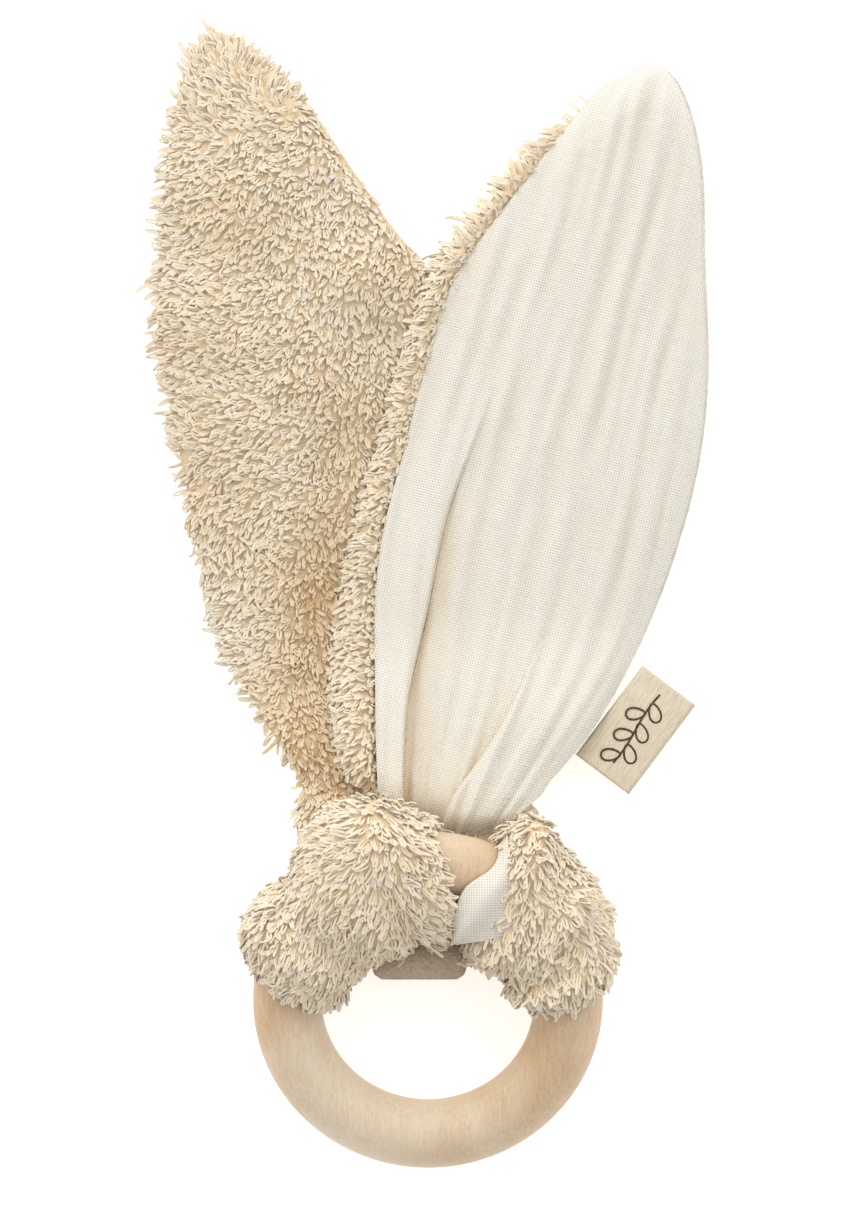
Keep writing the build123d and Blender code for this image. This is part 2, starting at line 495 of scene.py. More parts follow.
def muslin_finish():
    """Double gauze: open plain weave with uneven threads, softly creased, with painted shade in warm tan
    along its folds.
    """
    made = Finish("muslin", {"Specular IOR Level": 0.2, **COTTON})
    place = made.cloth_space()
    wobble = made.node("TexNoise", {"Vector": place, "Scale": 0.22, "Detail": 2.0}).outputs["Color"]
    axes = made.axes(made.mix(0.25, place, wobble, "ADD"))
    thread_pitch = 0.52
    threads = made.math("MAXIMUM", made.wave(axes[0], thread_pitch), made.wave(axes[1], thread_pitch))
    openness = made.between(made.noise(made.stretched(place, (0.5, 1.0, 1.0)), 0.5, 2.0), 0.2, 0.75)
    holes = made.times(made.add(threads, 0.6), openness)
    weft_slubs = made.noise(made.stretched(place, (0.16, 2.4, 1.0)), 1.6, 3.0, 0.6)
    warp_slubs = made.noise(made.stretched(place, (2.4, 0.16, 1.0)), 1.6, 3.0, 0.6)
    slubs = made.times(made.add(weft_slubs, warp_slubs), 0.5)
    shade = made.add(made.times(holes, 0.55), made.times(slubs, 0.45))
    shadow, middle, white = tint(196, 186, 166), tint(231, 226, 213), tint(246, 244, 237)
    colour = made.ramp(shade, (0.12, shadow), (0.33, middle), (0.62, white))
    # cream is patchy colour of the cloth itself; warm is painted shade, laid into its folds and the
    # ridges' valleys
    cream, warm = tint(227, 219, 201), tint(229, 206, 171)
    colour = made.mix(made.between(made.noise(place, 0.07, 2.0), 0.0, 0.35), colour, cream)
    colour = made.mix(made.times(made.attribute("fold_shade"), 0.75), colour, warm)
    height = made.add(made.times(holes, 0.6), slubs)
    return made.done(colour, (slubs, 0.75, 0.95), (height, 0.00022, 0.8))


def maple_finish():
    """Sanded maple: fine grain along one way of the plank, small pores and warm patches."""
    made = Finish("maple", {"Specular IOR Level": 0.35, "Coat Weight": 0.05, "Coat Roughness": 0.4})
    place = made.object_space()
    patches = made.noise(made.stretched(place, (1.0, 0.55, 1.0)), 38.0, 3.0, 0.55)
    # the ring is warmer and darker towards its left and right sides
    aside = made.math("ABSOLUTE", made.axes(place)[0])
    patches = made.add(patches, made.times(aside, 5.5))
    grain = made.noise(made.stretched(place, (9.0, 0.5, 9.0)), 160.0, 4.0, 0.6)
    pores = made.noise(made.stretched(place, (8.0, 0.8, 8.0)), 640.0, 2.0, 0.7)
    rays = made.noise(made.stretched(place, (1.0, 0.12, 1.0)), 420.0, 3.0, 0.6)
    pale, middle, warm = tint(230, 216, 197), tint(223, 206, 183), tint(208, 180, 147)
    tone = made.ramp(patches, (0.32, pale), (0.54, middle), (0.76, warm))
    streaks = made.ramp(grain, (0.3, tint(170, 160, 150)), (0.65, tint(208, 202, 196)))
    colour = made.mix(0.42, tone, streaks, "OVERLAY")
    fleck = made.ramp(pores, (0.34, tint(206, 184, 158)), (0.48, tint(255, 255, 255)))
    colour = made.mix(0.3, colour, fleck, "MULTIPLY")
    rough = made.add(rays, made.times(pores, 0.4))
    height = made.add(made.times(grain, 0.6), pores)
    return made.done(colour, (rough, 0.42, 0.6), (height, 0.00004, 0.5))


def tape_finish():
    """Woven cotton tape with fine ribs across it."""
    made = Finish("tape", {"Sheen Weight": 0.1, "Specular IOR Level": 0.25})
    place = made.cloth_space()
    axes = made.axes(place)
    weave = made.times(made.wave(axes[0], 0.5), made.wave(axes[1], 0.38))
    uneven = made.noise(made.stretched(place, (0.3, 2.0, 1.0)), 1.2)
    shade = made.add(made.times(weave, 0.18), uneven)
    dark, middle, light = tint(208, 194, 168), tint(228, 215, 190), tint(238, 228, 207)
    colour = made.ramp(shade, (0.2, dark), (0.5, middle), (0.8, light))
    return made.done(colour, (uneven, 0.7, 0.9), (made.add(weave, uneven), 0.00008, 0.6))


def ink_finish():
    """Dark brown fabric ink that the weave shows through."""
    made = Finish("ink", {"Specular IOR Level": 0.2})
    worn = made.noise(made.object_space(), 2600.0)
    colour = made.ramp(worn, (0.35, tint(58, 50, 42)), (0.7, tint(104, 92, 76)))
    return made.done(colour, (worn, 0.7, 0.95), (worn, 0.00004, 0.5))


EAR_YARN = yarn_finish("terry_yarn", tint(237, 214, 180), tint(242, 226, 199), tint(245, 235, 214))
# painted light: a paler copy of the same yarn, for the lobes, the band beside the muslin and the back
# bar's loops, which look brighter
PAINTED_LIGHT_YARN = yarn_finish(
    "terry_yarn_painted_light", tint(241, 218, 184), tint(246, 230, 203), tint(249, 239, 219)
)
GROUND = ground_finish("terry_ground", tint(232, 209, 172), tint(240, 221, 188))
# painted shade: a darkened copy of the terry ground for the band behind the knot, which lies in shade
PAINTED_SHADE_GROUND = ground_finish("terry_ground_painted_shade", tint(176, 157, 138), tint(203, 186, 167))
MUSLIN = muslin_finish()
MAPLE = maple_finish()
TAPE = tape_finish()
INK = ink_finish()

# ---------------- outlines of the ears

REACH = 0.85  # below the fork the ears' terry grounds reach past their outlines, to close the groove


class Outline:
    """Outline of an ear and its neck, read from the CAD nodes."""

    NOWHERE = 1e9  # x of an edge at a height that the outline doesn't reach

    def __init__(self, side):
        self.side = side
        nodes = [f"{side}_neck_terry", f"{side}_ear_terry", f"{side}_ear_tip_terry"]
        edges = np.concatenate([self.edges_of(node) for node in nodes])
        low, high = edges[..., 1].min() + 0.05, edges[..., 1].max() - 0.02
        rows = []
        # slices across the ear, closer together over its last 4 mm
        for y in np.concatenate([np.linspace(low, high - 4, 260), np.linspace(high - 3.9, high, 40)]):
            crossing = (edges[:, 0, 1] - y) * (edges[:, 1, 1] - y) < 0
            if crossing.any():
                a, b = edges[crossing, 0], edges[crossing, 1]
                x = a[:, 0] + (b[:, 0] - a[:, 0]) * (y - a[:, 1]) / (b[:, 1] - a[:, 1])
                rows.append((y, x.min(), x.max()))
        self.y, self.left, self.right = np.array(rows).T
        self.left_side = self.dense(self.left)
        self.right_side = self.dense(self.right)
        top = np.linspace(self.left_side[-1], self.right_side[-1], 20)
        sides = [self.left_side, self.right_side]
        self.touching = sides.pop(side == "left")
        self.free = np.concatenate([sides[0], top])

    @staticmethod
    def edges_of(node):
        mesh = frame["nodes"][node].data
        points = np.array([vertex.co for vertex in mesh.vertices]) / MM
        return points[np.array([edge.vertices for edge in mesh.edges])]

    def dense(self, x):
        """Points every 0.4 mm along one side."""
        line = np.stack([x, self.y], 1)
        steps = np.linalg.norm(np.diff(line, axis=0), axis=1)
        walked = np.concatenate([[0], np.cumsum(steps)])
        at = np.arange(0, walked[-1], 0.4)
        return np.stack([np.interp(at, walked, line[:, i]) for i in range(2)], 1)

    @staticmethod
    def touch(y):
        """1 where the ears lie against each other, and 0 above their fork."""
        return smooth((FORK_Y + 12 - y) / 16)

    def sides(self, y, inset, reach=0.0):
        """Left and right x at heights y, drawn in, or past the outline where the ears touch."""
        sides = []
        for line, sign in ((self.left_side, 1), (self.right_side, -1)):
            off = line[:, 1] - y[:, None]
            drawn_in = sign * line[:, 0] + np.sqrt(np.maximum(inset**2 - off**2, 0))
            sides.append(sign * np.where(abs(off) <= inset, drawn_in, -self.NOWHERE).max(1))
        if reach:
            out = (inset + reach) * self.touch(y)
            sides[self.side == "left"] += out if self.side == "left" else -out
        return sides

    def top(self, inset):
        """Highest y where the drawn-in outline is still wider than a millimetre."""
        y = np.arange(self.y[-1], self.y[-1] - 20, -0.1)
        left, right = self.sides(y, inset)
        return y[np.argmax((right - left > 1.0) & (right - left < self.NOWHERE / 2))]

    def depth(self, x, y, inset, reach=0.0):
        """How far grid points lie inside the cloth's edge."""
        depth = np.empty(x.shape)
        for i in range(len(x)):
            row = np.stack([x[i], y[i]], 1)[:, None]
            free = np.sqrt(((row - self.free) ** 2).sum(-1).min(1)) - inset
            touching = np.sqrt(((row - self.touching) ** 2).sum(-1).min(1)) - inset
            if reach:
                edge = x[i, -1] if self.side == "left" else x[i, 0]
                share = self.touch(y[i, 0])
                touching = touching * (1 - share) + abs(x[i] - edge) * share
            depth[i] = np.minimum(free, touching)
        return depth


def ear_rows(outline, inset):
    """Heights y of an ear's rows, closer together at the tip, and the row number of the split."""
    lower = np.linspace(NECK_END_Y + 1.5, SPLIT_Y, 52)
    top = outline.top(inset)
    upper = SPLIT_Y + (top - SPLIT_Y) * np.sin(np.linspace(0, math.pi / 2, 92))
    return np.concatenate([lower, upper[1:]]), len(lower) - 1


def grid_between(y, edges, counts):
    """Grid of x and y whose columns run through each of the given lines, and are closer there."""
    parts = []
    for i, count in enumerate(counts):
        t = np.linspace(0, 1, count)
        share = 0.6 * t + 0.4 * (0.5 - 0.5 * np.cos(math.pi * t))
        part = edges[i][:, None] * (1 - share) + edges[i + 1][:, None] * share
        parts.append(part if i == 0 else part[:, 1:])
    x = np.concatenate(parts, axis=1)
    return x, np.broadcast_to(y[:, None], x.shape)


# The four rims of a grid, each with the line of points beside it
RIMS = (
    (np.s_[:, 0], np.s_[:, 1]),
    (np.s_[:, -1], np.s_[:, -2]),
    (np.s_[0], np.s_[1]),
    (np.s_[-1], np.s_[-2]),
)


def ear_cloth(side, cloth, top, bottom, split, turn=0.0, fold_shade=None):
    """A cloth of an ear as two closed pieces, lower and upper, that meet where no joint bends it.

    turn is the weave's angle on the cloth, and the last argument says how deep in a fold each point
    lies, for the painted shade there.
    """
    row_steps, column_steps = (np.minimum(np.arange(n), np.arange(n)[::-1]) for n in top.shape[:2])
    from_rim = np.minimum(row_steps[:, None], column_steps)
    # the edge is shaded as if it were rounded
    up = unit(grid_normals(top) + 1.2 * UP * np.clip(1 - from_rim / 3, 0, 1)[..., None])
    down = -grid_normals(bottom)
    for rim, inside in RIMS:
        outward = (top[rim] - top[inside]) * np.array([1, 1, 0])
        down[rim] = unit(down[rim] + unit(outward))
    cosine, sine = math.cos(turn), math.sin(turn)
    nodes = [cloth, "seam"] if cloth == "terry" else [cloth]
    lower = [f"{side}_neck_{cloth}", *(f"{side}_ear_{node}" for node in nodes)]
    upper = [f"{side}_ear_tip_{node}" for node in nodes]
    parts = {"lower": (slice(0, split + 1), lower), "upper": (slice(split, None), upper)}
    pieces = []
    for part, (rows, replaced) in parts.items():
        points, faces = shell(top[rows], bottom[rows])
        normals = np.concatenate([up[rows].reshape(-1, 3), down[rows].reshape(-1, 3)])
        x, y = points[:, 0], points[:, 1]
        uv = np.stack([x * cosine + y * sine, y * cosine - x * sine], 1)
        values = {} if fold_shade is None else {"fold_shade": np.tile(fold_shade[rows].ravel(), 2)}
        look = GROUND if cloth == "terry" else MUSLIN
        piece = make_piece(f"{side}_ear_{cloth}_{part}", points, faces, look, normals, uv, values)
        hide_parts(*replaced)
        bend(piece, side, part)
        pieces.append(piece)
    return pieces


def bend(piece, side, part):
    """Bakes an ear piece's place into its mesh."""
    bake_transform(piece)


def ear_loops(side, kind, pile, material, shape):
    """Loops of an ear as three pieces, the first of them cut where its cloth is cut."""
    made = []
    y = pile.roots[:, 1]
    parts = {"lower": y < SPLIT_Y, "upper": (y >= SPLIT_Y) & (y < FORK_Y), "end": y >= FORK_Y}
    for part, keep in parts.items():
        piece = loops_mesh(f"{side}_ear_{kind}_{part}", pile.only(keep), material, **shape)
        bend(piece, side, part)
        made.append(piece)
    return made


# ---------------- left ear: terry up

LEFT = Outline("left")
RIGHT = Outline("right")


def left_ear():
    """Terry on top and muslin under it."""
    inset = 1.7
    y, split = ear_rows(LEFT, inset)
    left, right = LEFT.sides(y, inset, REACH)
    right = right + 2.3 * smooth((y - FORK_Y + 6) / 10) * smooth((112 - y) / 10)
    x, yy = grid_between(y, [left, right], [46])
    depth = LEFT.depth(x, yy, inset, REACH)
    base = ramp_height(yy)
    gauze_low, gauze_high, ground_low, ground_rim = 0.3, 0.95, 1.05, 1.3  # above the underside
    swell = 2.3 * smooth(depth / 17) + 0.6 * ripple(x, yy, 30, 5) + 0.25 * ripple(x, yy, 11, 6)
    swell = swell - 1.5 * LEFT.touch(yy) * (1 - smooth((x[:, -1:] - x) / 15))  # beside the groove
    into_knot = 3.0 * smooth((NECK_Y - 1 - yy) / 12)
    rounded = quarter((depth + 0.4) / 3.2)
    top = spots(x, yy, base + ground_rim + (2.2 + swell) * rounded + into_knot)
    cloth = ear_cloth("left", "terry", top, spots(x, yy, base + ground_low), split)
    crinkle = np.minimum(0.45, 0.18 * ripple(x * 2.2, yy * 0.5, 9, 8))
    gauze_top = spots(x, yy, base + gauze_high)
    gauze_bottom = spots(x, yy, base + gauze_low + crinkle)
    lining = ear_cloth("left", "muslin", gauze_top, gauze_bottom, split)

    roots, up = scatter(top, grid_normals(top), EAR_DENSITY)
    rx, ry = roots[:, 0], roots[:, 1]
    centre = np.interp(ry, y, (left + right) / 2)
    half = np.interp(ry, y, (right - left) / 2)
    across = (rx - centre) / np.maximum(half, 3)
    leftward, rightward = np.maximum(-across, 0), np.maximum(across, 0)
    touch = LEFT.touch(ry)
    from_groove = np.interp(ry, y, right) - rx
    tip = smooth((ry - 88) / 24)
    near_knot = smooth((35 - ry) / 50)
    flow_x = -0.75 + 0.9 * rightward**2 - 0.4 * leftward + tip * across
    flow_x = flow_x + 1.3 * (touch * bell(from_groove / 2.5))
    flow_y = -0.75 + 0.5 * leftward**2 + 1.9 * tip - 0.7 * near_knot
    swirl = 0.75 * ripple(rx, ry, 42, 21) + 0.35 * ripple(rx, ry, 12, 22)
    # painted shade: the loops in the valley beside the groove get a darker, warmer colour; the ripple
    # adds random tone
    shaded = bell((from_groove - 6) / 6.5) * smooth((52 - ry) / 50)
    shade_and_tone = 1.3 * touch * shaded + 0.35 * ripple(rx, ry, 26, 23)
    from_rim = rx - np.interp(ry, y, left)
    stretch = 1 + 0.5 * bell(from_rim / 1.6) * (rng.uniform(0, 1, len(roots)) < 0.6)
    flow = lie_along(up, spots(flow_x, flow_y), 24, swirl)
    pile = Pile(roots, up, flow, shade_and_tone, stretch)
    piles = ear_loops("left", "loops", pile, EAR_YARN, LEFT_LOOPS)


# ---------------- right ear: muslin up

# Lines along the right ear: a few heights y, and the line's x there
MUSLIN_EDGE = (  # the muslin's left edge
    (-54, -22, 8, 30, 50, 66, 80, 96, 103, 106),
    (-9.4, -10.6, -9.9, -4.7, 0.1, 6.4, 16.9, 30.6, 39.5, 46.0),
)
FLAP_EDGE = (  # where its folded left strip ends
    (-54, -41, -22, -4, 16, 38, 60, 106),
    (-5.2, -4.9, -4.0, -0.2, 4.0, 12.3, 20.0, 48.0),
)
CREASE = (  # the pinched crease that comes out of the knot
    (-54, -47, -41, -36, -28, -14, 10, 60, 106),
    (1.5, 2.7, 4.5, 8.0, 13.5, 20.5, 30.0, 41.0, 50.0),
)
MUSLIN_HEM = (  # the muslin's end behind the knot
    (-54, -51.5, -49.5, -48, -46, -43, -40.4, -36, -30),
    (-1, 1, 6, 12, 16, 19.5, 22.8, 30, 60),
)
RIDGE_AXIS = ((-54, -40, -20, 0, 20, 40, 106), (2, 6.3, 13.2, 18.5, 22.4, 26.5, 45))
RIDGE_SPREAD = (  # how far the fine ridges are spread out at those heights
    (-54, -40, -20, 0, 20, 40, 106),
    (0.3, 0.55, 0.8, 0.95, 1.0, 1.0, 1.0),
)
RIDGES = ((5.6, 0.44, 52), (3.5, 0.19, 53), (9.0, 0.42, 54))  # pitch, height and seed
MUSLIN_T = 0.5
EAR_TURN = -math.radians(14.9)  # between +Y and the right ear's own length


def right_ear_terry():
    """The ear's terry, face down, and the band of its loops that stands beside the muslin."""
    inset = 1.5
    y, split = ear_rows(RIGHT, inset)
    left, right = RIGHT.sides(y, inset, REACH)
    x, yy = grid_between(y, [left, right], [52])
    depth = RIGHT.depth(x, yy, inset, REACH)
    base = ramp_height(yy)
    into_knot = 1.5 * smooth((NECK_Y - 1 - yy) / 12)
    band = smooth((through(*MUSLIN_EDGE, yy) + 1.5 - x) / 3)
    height = 2.6 + band * (2.2 + 0.4 * ripple(x, yy, 16, 31))
    top = spots(x, yy, base + 1.6 + height * quarter((depth + 0.4) / 4.6) + into_knot)
    bottom = spots(x, yy, base + 1.2 - 0.25 * quarter(depth / 3))
    backing = ear_cloth("right", "terry", top, bottom, split)

    past_hem = (yy < NECK_Y - 1) & (x > through(*MUSLIN_HEM, yy) + 0.6)
    density = np.maximum(EAR_DENSITY * 1.1 * (band > 0.4), 0.6 * past_hem)
    roots, up = scatter(top, grid_normals(top), density[:-1, :-1])
    rx, ry = roots[:, 0], roots[:, 1]
    flow_x = np.where((rx > 5) & (ry < 0), 0.8, -1.0)
    flow_y = -0.35 - 0.5 * smooth((10 - ry) / 40) + 0.9 * smooth((ry - 62) / 12)
    swirl = 0.4 * ripple(rx, ry, 18, 41)
    from_rim = rx - np.interp(ry, y, left)
    fringe = smooth((ry - 60) / 8) * (rng.uniform(0, 1, len(roots)) < 0.5)
    stretch = 1 + 0.7 * bell(from_rim / 2.2) * fringe
    pile = Pile(roots, up, lie_along(up, spots(flow_x, flow_y), 22, swirl), stretch=stretch)
    edge_piles = ear_loops("right", "edge_loops", pile, PAINTED_LIGHT_YARN, EDGE_LOOPS)

    density = BACK_DENSITY * (depth[:-1, :-1] > 2.0)
    roots, up = scatter(bottom, -grid_normals(bottom), density)
    swirl = 0.9 * ripple(roots[:, 0], roots[:, 1], 36, 43)
    pile = Pile(roots, up, lie_along(up, np.array([-0.3, -1.0, 0.0]), 25, swirl))
    back_piles = ear_loops("right", "back_loops", pile, EAR_YARN, BACK_LOOPS)


def right_ear_muslin():
    """The ear's muslin on top of its terry, with folds that fan out of the knot."""
    inset = 0.5
    y, split = ear_rows(RIGHT, inset)
    outer, right = RIGHT.sides(y, inset)
    right = right + 0.8 * smooth((y - NECK_Y) / 10)
    right = np.minimum(right, np.maximum(through(*MUSLIN_HEM, y), -5.0))
    edge = np.minimum(np.maximum(through(*MUSLIN_EDGE, y), outer), right - 0.6)
    edge = edge - 1.2 * smooth((y - 92) / 10)
    width = right - edge
    flap = np.clip(through(*FLAP_EDGE, y), edge + 0.12 * width, right - 0.5 * width)
    crease = np.clip(through(*CREASE, y), flap + 0.15 * width, right - 0.15 * width)
    x, yy = grid_between(y, [edge, flap, crease, right], [26, 34, 40])
    depth = RIGHT.depth(x, yy, inset)
    inside = smooth(depth / 4)

    # the plain sheet: rounded at its rim and domed across
    from_edge = x - edge[:, None]
    share = from_edge / width[:, None]
    body = 1.3 + 4.9 * quarter((depth + 0.9) / 5.7)
    body = body - 1.3 * (1 - quarter(from_edge / 1.4)) * smooth((100 - yy) / 10)
    body = body + 2.2 * (4 * share * (1 - share)) * smooth(depth / 8)

    # the folded left strip, with a valley beside it
    s = x - flap[:, None]
    fold = smooth((46 - yy) / 50) + 0.7 * smooth((-8 - yy) / 24)
    roll = 1.9
    body = body + fold * np.where(s < 0, 2.0 * quarter(-s / roll), -1.6 * np.exp(-s / 7.0))
    body = body - 0.5 * fold * np.where(s < 0, smooth((-s - roll) / 8), 0)
    # painted shade in the valley beside the folded strip
    fold_shade = 0.75 * np.minimum(fold, 1.2) * np.exp(-np.where(s > -0.4, abs(s) / 2.2, 9.0))

    # the pinched crease
    s = x - crease[:, None]
    pinch = smooth((-6 - yy) / 22)
    ridge = 2.2 * quarter(s / 1.5) * np.exp(-s / 22)
    body = body + pinch * np.where(s > 0, ridge, -0.7 * np.exp(s / 3.0))
    # painted shade along the pinched crease
    fold_shade = fold_shade + 0.5 * pinch * np.exp(-np.where(s < 0.3, abs(s) / 2.4, 9.0))

    # fine ridges and crinkle
    across = (x - through(*RIDGE_AXIS, yy)) / through(*RIDGE_SPREAD, yy)
    wander = 1.5 * ripple(across, yy * 0.6, 55, 51)
    ridges = np.zeros(x.shape)
    for pitch, size, seed in RIDGES:
        strength = 0.6 + 0.7 * ripple(across * 2, yy, 40, seed)
        ridges += size * strength * np.sin(2 * math.pi * (across + wander) / pitch + seed)
    body = body + ridges * inside + 0.10 * ripple(x * 1.6, yy * 0.5, 6, 57) * smooth(depth / 3)
    # painted shade in the fine ridges' valleys
    fold_shade = np.clip(fold_shade + 0.25 * np.maximum(-ridges, 0) * inside, 0, 1)

    into_knot = 1.4 * smooth((NECK_Y + 6 - yy) / 12) - 3.4 * smooth((NECK_Y - 7 - yy) / 5)
    top = spots(x, yy + 1.4 * smooth((yy - 80) / 24), ramp_height(yy) + body + into_knot)
    gauze = ear_cloth("right", "muslin", top, top - MUSLIN_T * UP, split, EAR_TURN, fold_shade)


# ---------------- lobes of the knot

ROUND = np.radians(np.arange(0, 361, 45))  # round the ring's wood: 0 is outwards and 90 is up


def on_ring(along, around, reach):
    """Points at a reach from the middle of the ring's wood, along and around it in radians."""
    out = np.cos(along)[..., None] * np.array([1.0, 0, 0]) + np.sin(along)[..., None] * RING_ALONG
    away = np.cos(around)[..., None] * out + np.sin(around)[..., None] * RING_AXIS
    return RING_CENTRE + RING_R * out + reach[..., None] * away


def lobe_grid(start, end, swell_start, swell_end, bulges, seed):
    """Outer surface of a lobe and its lining, with soft folds."""
    rows, columns = 64, 96
    around = np.linspace(0, 2 * math.pi, columns, endpoint=False)
    tables = (start, end, swell_start, swell_end)
    start, end, swell_start, swell_end = (through(ROUND, row + row[:1], around) for row in tables)
    s = (0.5 - 0.5 * np.cos(np.linspace(0, math.pi, rows)))[:, None]
    along = np.radians(start * (1 - s) + end * s)
    turn = np.broadcast_to(around, along.shape)
    wave = np.random.default_rng(seed)
    folds = np.zeros(along.shape)
    for pitch, size in ((2.0, 0.55), (3.0, 0.45), (5.0, 0.25)):
        phase = wave.uniform(0, 2 * math.pi, 2)
        folds += size * np.sin(math.pi * pitch * s * 2 + phase[0] + 1.6 * np.sin(turn + phase[1]))
    for place, width, size in bulges:
        folds += size * bell((s - place) / width) * np.exp((np.cos(turn - 0.15) - 1) * 5)
    body = (1 - abs(2 * s - 1) ** 3.2) ** (1 / 2.6)  # full in the middle, rounded off at both ends
    lining = TUBE_R + 0.35
    rim = lining + 0.7
    reach = rim + (swell_start * (1 - s) + swell_end * s - rim + folds) * body
    return on_ring(along, turn, reach), on_ring(along, turn, lining + 0.15 * body + 0 * along)


def lobe(side, rows, bulges, part_x, curl, seed):
    """Cloth round one side of the ring. Its loops part at part_x, and turn round one curl.

    curl is the curl's x, y, radius and turn.
    """
    outer, inner = lobe_grid(*rows, bulges, seed)
    if side == "right":  # its angles run backwards, so its columns do too
        outer, inner = outer[:, ::-1], inner[:, ::-1]
    points, faces = shell(outer, inner, wrap=True)
    cloth = make_piece(f"{side}_lobe_terry_cloth", points, faces[:, ::-1], GROUND)
    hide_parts(f"{side}_lobe_terry", f"{side}_lobe_muslin")
    rigid(cloth, "knot")

    roots, up = scatter(outer, -grid_normals(outer, wrap=True), LOBE_DENSITY, wrap=True)
    x, y, z = roots.T
    flow = spots((x - part_x) / 22, -1.0, 0.6 * np.maximum(up[:, 1], 0))
    swirl = 0.5 * ripple(x, y, 20, seed + 1) + 0.35 * ripple(y, z, 9, seed + 2)
    curl_x, curl_y, curl_size, curl_turn = curl
    swirl = swirl + curl_turn * bell(np.hypot(x - curl_x, y - curl_y) / curl_size)
    pile = Pile(roots, up, lie_along(up, flow, 17, swirl))
    loops = loops_mesh(f"{side}_lobe_loops", pile, PAINTED_LIGHT_YARN, **LOBE_LOOPS)
    rigid(loops, "knot")


# For every 45 degrees round the wood: the angles along the ring where a lobe starts and ends, and
# its distances from the middle of the wood there
LEFT_ROWS = (
    [91, 88, 83, 77, 70, 75, 82, 88],
    [161, 166, 172, 177, 179, 177, 171, 165],
    [12.6, 11.8, 10.8, 13.4, 17.6, 13.0, 10.2, 11.4],
    [11.2, 11.0, 10.8, 11.6, 12.4, 11.6, 10.2, 10.8],
)
RIGHT_ROWS = (
    [66, 62, 57, 55, 62, 61, 60, 65],
    [13, 8, 3, 1, 2, 3, 4, 9],
    [12.4, 12.2, 10.8, 13.4, 17.0, 13.2, 10.2, 11.4],
    [11.8, 11.2, 10.6, 10.4, 9.8, 10.4, 10.2, 11.0],
)
# Bulges and hollows on a lobe's outward side: place and width as shares of its length, and height
LEFT_BULGES = ((0.32, 0.22, 4.0), (0.7, 0.15, -3.2), (0.94, 0.1, 2.0))
RIGHT_BULGES = ((0.12, 0.16, 4.5),)

# The turned-back lining of the right lobe: angles along the ring and distances from the middle of
# its wood, at the wood's side and at the terry's side, for a few places round the wood
WOOD_ANGLE = ((0, 8, 60, 100, 130, 165), (66.5, 66.5, 67.3, 74.5, 75.9, 73.0))
WOOD_REACH = ((0, 8, 60, 100, 130, 165), (7.4, 7.5, 7.8, 8.4, 10.2, 12.8))
TERRY_ANGLE = ((0, 50, 80, 130, 165), (66.0, 57.2, 51.0, 49.0, 65.0))
TERRY_REACH = ((0, 50, 80, 130, 165), (9.5, 8.8, 9.0, 11.4, 14.0))


def turned_back_lining():
    """Lining that shows where the right lobe's edge turns back."""
    around = np.linspace(4, 165, 44)
    lines = (WOOD_ANGLE, TERRY_ANGLE, WOOD_REACH, TERRY_REACH)
    wood_angle, terry_angle, wood_reach, terry_reach = (through(*line, around) for line in lines)
    s = np.linspace(0, 1, 26)[:, None]
    along = np.radians(wood_angle * (1 - s) + terry_angle * s)
    turn = np.broadcast_to(np.radians(around), along.shape)
    reach = wood_reach + (terry_reach - wood_reach) * quarter(s * 1.1)
    roll = 1.3 * bell((s - 0.3) / 0.22)
    folds = 0.3 * np.sin(9 * s + 2.5 * turn) + roll + 0.5 * np.sin(math.pi * s)
    reach = reach + folds * smooth(s / 0.25)
    bottom = on_ring(along, turn, np.maximum(reach - 0.6, TUBE_R + 0.1))
    points, faces = shell(on_ring(along, turn, reach), bottom)
    piece = make_piece("right_lobe_muslin_turnback", points, faces, MUSLIN, uv=points[:, :2])
    rigid(piece, "knot")


def back_bar():
    """Band of cloth across the back of the knot, whose straight edge shows inside the ring."""
    low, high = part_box("back_bar_terry")
    edge_y, edge_left, edge_right = -77.0, -11.0, 7.5
    rows = np.linspace(edge_y, high.y / MM, 40)
    share = smooth((rows - edge_y) / 25)
    corner = 1.6 * (1 - quarter((rows - edge_y) / 2.2))
    left = edge_left + (low.x / MM - edge_left) * share + corner
    right = edge_right + (high.x / MM - edge_right) * share - corner
    x, yy = grid_between(rows, [left, right], [40])
    rise = 11.5 * smooth((-52 - yy) / 22)
    side = np.minimum(x - left[:, None], right[:, None] - x)
    rounded = quarter((side + 0.3) / 2.5) * quarter((rows[-1] - yy + 0.3) / 2.5)
    top = spots(x, yy, rise + 2.4 + 1.9 * rounded + 0.25 * ripple(x, yy, 8, 71))
    bottom = spots(x, yy, rise + 2.2 - 0.9 * rounded)
    # painted shade: the band's cloth is coloured dark because it lies in shade behind the ring
    cloth = make_piece("back_bar_cloth", *shell(top, bottom), PAINTED_SHADE_GROUND)
    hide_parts("back_bar_terry", "back_bar_muslin")
    rigid(cloth, "knot")
    roots, up = scatter(bottom, -grid_normals(bottom), BAR_DENSITY)
    swirl = 0.6 * ripple(roots[:, 0], roots[:, 1], 15, 73)
    pile = Pile(roots, up, lie_along(up, np.array([0.0, -1.0, 0.0]), 22, swirl))
    pile = pile.only(roots[:, 1] > edge_y + 3)
    loops = loops_mesh("back_bar_loops", pile, PAINTED_LIGHT_YARN, **BAR_LOOPS)
    rigid(loops, "knot")


# ---------------- label


TAPE_HALF_T = 0.17
FOLD_R = 0.62  # from the tape's middle to either leaf
TAPE_SAG = 0.5  # how far the middle of the label is raised


